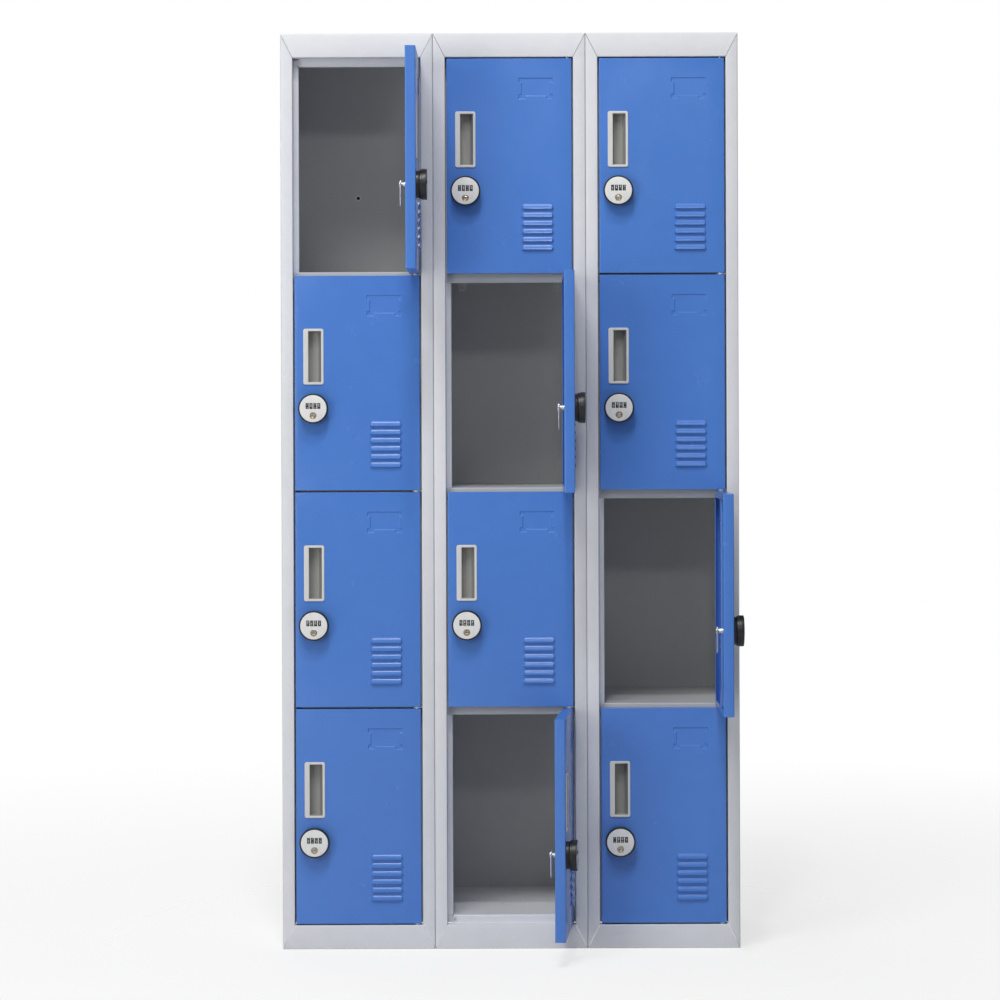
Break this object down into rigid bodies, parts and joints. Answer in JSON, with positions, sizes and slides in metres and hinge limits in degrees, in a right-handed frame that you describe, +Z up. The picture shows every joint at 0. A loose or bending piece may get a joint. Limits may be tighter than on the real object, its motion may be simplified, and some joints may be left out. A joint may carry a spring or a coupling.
{
  "type": "coin operated locker",
  "caption": "Free-standing bank of stacked steel lockers, bays bolted side by side, with hinged pan doors, recessed pulls, pressed louvres and combination dial locks.",
  "frame": {"origin": "centre of the cabinet's footprint, on the floor", "axes": "+Z up, +X to the right across the front, +Y from the front to the back"},
  "size_m": [0.8996, 0.63, 1.8],
  "materials": {
    "carcass": "light grey powder coat",
    "inside": "light grey powder coat",
    "door": "blue powder coat",
    "pull": "fine-grained moulded plastic",
    "lock": "satin moulded plastic",
    "dial": "satin moulded plastic",
    "zinc": "bright zinc plating",
    "lock_face": "smooth moulded plastic",
    "digit": "printed",
    "brass": "turned"
  },
  "bodies": {
    "root": {"side_panels_left": "carcass", "side_panels_right": "carcass", "top_panels": "carcass", "base_panels": "carcass", "back_panels": "inside", "shelves": "inside", "shelf_clips": "zinc", "clip_screws": "zinc", "bay_bolts": "zinc", "hinge_plates": "carcass", "hinge_pins": "zinc", "frame_rivets": "zinc"},
    "door_c1r1": {"door_panel_c1r1": "door", "door_fittings_c1r1": "pull"},
    "lock_c1r1": {"lock_knob_c1r1": "lock"},
    "dials_c1r1": {"dial_wheels_c1r1": "dial"},
    "door_c1r2": {"door_panel_c1r2": "door", "door_fittings_c1r2": "pull"},
    "lock_c1r2": {"lock_knob_c1r2": "lock"},
    "dials_c1r2": {"dial_wheels_c1r2": "dial"},
    "door_c1r3": {"door_panel_c1r3": "door", "door_fittings_c1r3": "pull"},
    "lock_c1r3": {"lock_knob_c1r3": "lock"},
    "dials_c1r3": {"dial_wheels_c1r3": "dial"},
    "door_c1r4": {"door_panel_c1r4": "door", "door_fittings_c1r4": "pull"},
    "lock_c1r4": {"lock_knob_c1r4": "lock"},
    "dials_c1r4": {"dial_wheels_c1r4": "dial"},
    "door_c2r1": {"door_panel_c2r1": "door", "door_fittings_c2r1": "pull"},
    "lock_c2r1": {"lock_knob_c2r1": "lock"},
    "dials_c2r1": {"dial_wheels_c2r1": "dial"},
    "door_c2r2": {"door_panel_c2r2": "door", "door_fittings_c2r2": "pull"},
    "lock_c2r2": {"lock_knob_c2r2": "lock"},
    "dials_c2r2": {"dial_wheels_c2r2": "dial"},
    "door_c2r3": {"door_panel_c2r3": "door", "door_fittings_c2r3": "pull"},
    "lock_c2r3": {"lock_knob_c2r3": "lock"},
    "dials_c2r3": {"dial_wheels_c2r3": "dial"},
    "door_c2r4": {"door_panel_c2r4": "door", "door_fittings_c2r4": "pull"},
    "lock_c2r4": {"lock_knob_c2r4": "lock"},
    "dials_c2r4": {"dial_wheels_c2r4": "dial"},
    "door_c3r1": {"door_panel_c3r1": "door", "door_fittings_c3r1": "pull"},
    "lock_c3r1": {"lock_knob_c3r1": "lock"},
    "dials_c3r1": {"dial_wheels_c3r1": "dial"},
    "door_c3r2": {"door_panel_c3r2": "door", "door_fittings_c3r2": "pull"},
    "lock_c3r2": {"lock_knob_c3r2": "lock"},
    "dials_c3r2": {"dial_wheels_c3r2": "dial"},
    "door_c3r3": {"door_panel_c3r3": "door", "door_fittings_c3r3": "pull"},
    "lock_c3r3": {"lock_knob_c3r3": "lock"},
    "dials_c3r3": {"dial_wheels_c3r3": "dial"},
    "door_c3r4": {"door_panel_c3r4": "door", "door_fittings_c3r4": "pull"},
    "lock_c3r4": {"lock_knob_c3r4": "lock"},
    "dials_c3r4": {"dial_wheels_c3r4": "dial"}
  },
  "joints": [
    {"name": "hinge_c1r1", "type": "hinge", "parent": "root", "child": "door_c1r1", "pos_m": [-0.185, -0.192, 1.328], "axis": [0, 0, 1], "range_deg": [-90, 15]},
    {"name": "knob_c1r1", "type": "hinge", "parent": "door_c1r1", "child": "lock_c1r1", "pos_m": [-0.177, -0.393, 1.489], "axis": [-1, 0, 0], "range_deg": [0, 90]},
    {"name": "dials_c1r1", "type": "hinge", "parent": "lock_c1r1", "child": "dials_c1r1", "pos_m": [-0.1616, -0.393, 1.494], "axis": [0, 1, 0], "continuous": true},
    {"name": "hinge_c1r2", "type": "hinge", "parent": "root", "child": "door_c1r2", "pos_m": [-0.185, -0.192, 0.902], "axis": [0, 0, 1], "range_deg": [0, 105]},
    {"name": "knob_c1r2", "type": "hinge", "parent": "door_c1r2", "child": "lock_c1r2", "pos_m": [-0.386, -0.2, 1.063], "axis": [0, 1, 0], "range_deg": [0, 90]},
    {"name": "dials_c1r2", "type": "hinge", "parent": "lock_c1r2", "child": "dials_c1r2", "pos_m": [-0.386, -0.2154, 1.068], "axis": [1, 0, 0], "continuous": true},
    {"name": "hinge_c1r3", "type": "hinge", "parent": "root", "child": "door_c1r3", "pos_m": [-0.185, -0.192, 0.476], "axis": [0, 0, 1], "range_deg": [0, 105]},
    {"name": "knob_c1r3", "type": "hinge", "parent": "door_c1r3", "child": "lock_c1r3", "pos_m": [-0.386, -0.2, 0.637], "axis": [0, 1, 0], "range_deg": [0, 90]},
    {"name": "dials_c1r3", "type": "hinge", "parent": "lock_c1r3", "child": "dials_c1r3", "pos_m": [-0.386, -0.2154, 0.642], "axis": [1, 0, 0], "continuous": true},
    {"name": "hinge_c1r4", "type": "hinge", "parent": "root", "child": "door_c1r4", "pos_m": [-0.185, -0.192, 0.05], "axis": [0, 0, 1], "range_deg": [0, 105]},
    {"name": "knob_c1r4", "type": "hinge", "parent": "door_c1r4", "child": "lock_c1r4", "pos_m": [-0.386, -0.2, 0.211], "axis": [0, 1, 0], "range_deg": [0, 90]},
    {"name": "dials_c1r4", "type": "hinge", "parent": "lock_c1r4", "child": "dials_c1r4", "pos_m": [-0.386, -0.2154, 0.216], "axis": [1, 0, 0], "continuous": true},
    {"name": "hinge_c2r1", "type": "hinge", "parent": "root", "child": "door_c2r1", "pos_m": [0.115, -0.192, 1.328], "axis": [0, 0, 1], "range_deg": [0, 105]},
    {"name": "knob_c2r1", "type": "hinge", "parent": "door_c2r1", "child": "lock_c2r1", "pos_m": [-0.086, -0.2, 1.489], "axis": [0, 1, 0], "range_deg": [0, 90]},
    {"name": "dials_c2r1", "type": "hinge", "parent": "lock_c2r1", "child": "dials_c2r1", "pos_m": [-0.086, -0.2154, 1.494], "axis": [1, 0, 0], "continuous": true},
    {"name": "hinge_c2r2", "type": "hinge", "parent": "root", "child": "door_c2r2", "pos_m": [0.115, -0.192, 0.902], "axis": [0, 0, 1], "range_deg": [-90, 15]},
    {"name": "knob_c2r2", "type": "hinge", "parent": "door_c2r2", "child": "lock_c2r2", "pos_m": [0.123, -0.393, 1.063], "axis": [-1, 0, 0], "range_deg": [0, 90]},
    {"name": "dials_c2r2", "type": "hinge", "parent": "lock_c2r2", "child": "dials_c2r2", "pos_m": [0.1384, -0.393, 1.068], "axis": [0, 1, 0], "continuous": true},
    {"name": "hinge_c2r3", "type": "hinge", "parent": "root", "child": "door_c2r3", "pos_m": [0.115, -0.192, 0.476], "axis": [0, 0, 1], "range_deg": [0, 105]},
    {"name": "knob_c2r3", "type": "hinge", "parent": "door_c2r3", "child": "lock_c2r3", "pos_m": [-0.086, -0.2, 0.637], "axis": [0, 1, 0], "range_deg": [0, 90]},
    {"name": "dials_c2r3", "type": "hinge", "parent": "lock_c2r3", "child": "dials_c2r3", "pos_m": [-0.086, -0.2154, 0.642], "axis": [1, 0, 0], "continuous": true},
    {"name": "hinge_c2r4", "type": "hinge", "parent": "root", "child": "door_c2r4", "pos_m": [0.115, -0.192, 0.05], "axis": [0, 0, 1], "range_deg": [-85, 20]},
    {"name": "knob_c2r4", "type": "hinge", "parent": "door_c2r4", "child": "lock_c2r4", "pos_m": [0.10545, -0.39293, 0.211], "axis": [-0.9962, 0.0872, 0], "range_deg": [0, 90]},
    {"name": "dials_c2r4", "type": "hinge", "parent": "lock_c2r4", "child": "dials_c2r4", "pos_m": [0.12079, -0.39427, 0.216], "axis": [0.0872, 0.9962, 0], "continuous": true},
    {"name": "hinge_c3r1", "type": "hinge", "parent": "root", "child": "door_c3r1", "pos_m": [0.415, -0.192, 1.328], "axis": [0, 0, 1], "range_deg": [0, 105]},
    {"name": "knob_c3r1", "type": "hinge", "parent": "door_c3r1", "child": "lock_c3r1", "pos_m": [0.214, -0.2, 1.489], "axis": [0, 1, 0], "range_deg": [0, 90]},
    {"name": "dials_c3r1", "type": "hinge", "parent": "lock_c3r1", "child": "dials_c3r1", "pos_m": [0.214, -0.2154, 1.494], "axis": [1, 0, 0], "continuous": true},
    {"name": "hinge_c3r2", "type": "hinge", "parent": "root", "child": "door_c3r2", "pos_m": [0.415, -0.192, 0.902], "axis": [0, 0, 1], "range_deg": [0, 105]},
    {"name": "knob_c3r2", "type": "hinge", "parent": "door_c3r2", "child": "lock_c3r2", "pos_m": [0.214, -0.2, 1.063], "axis": [0, 1, 0], "range_deg": [0, 90]},
    {"name": "dials_c3r2", "type": "hinge", "parent": "lock_c3r2", "child": "dials_c3r2", "pos_m": [0.214, -0.2154, 1.068], "axis": [1, 0, 0], "continuous": true},
    {"name": "hinge_c3r3", "type": "hinge", "parent": "root", "child": "door_c3r3", "pos_m": [0.415, -0.192, 0.476], "axis": [0, 0, 1], "range_deg": [-90, 15]},
    {"name": "knob_c3r3", "type": "hinge", "parent": "door_c3r3", "child": "lock_c3r3", "pos_m": [0.423, -0.393, 0.637], "axis": [-1, 0, 0], "range_deg": [0, 90]},
    {"name": "dials_c3r3", "type": "hinge", "parent": "lock_c3r3", "child": "dials_c3r3", "pos_m": [0.4384, -0.393, 0.642], "axis": [0, 1, 0], "continuous": true},
    {"name": "hinge_c3r4", "type": "hinge", "parent": "root", "child": "door_c3r4", "pos_m": [0.415, -0.192, 0.05], "axis": [0, 0, 1], "range_deg": [0, 105]},
    {"name": "knob_c3r4", "type": "hinge", "parent": "door_c3r4", "child": "lock_c3r4", "pos_m": [0.214, -0.2, 0.211], "axis": [0, 1, 0], "range_deg": [0, 90]},
    {"name": "dials_c3r4", "type": "hinge", "parent": "lock_c3r4", "child": "dials_c3r4", "pos_m": [0.214, -0.2154, 0.216], "axis": [1, 0, 0], "continuous": true}
  ]
}
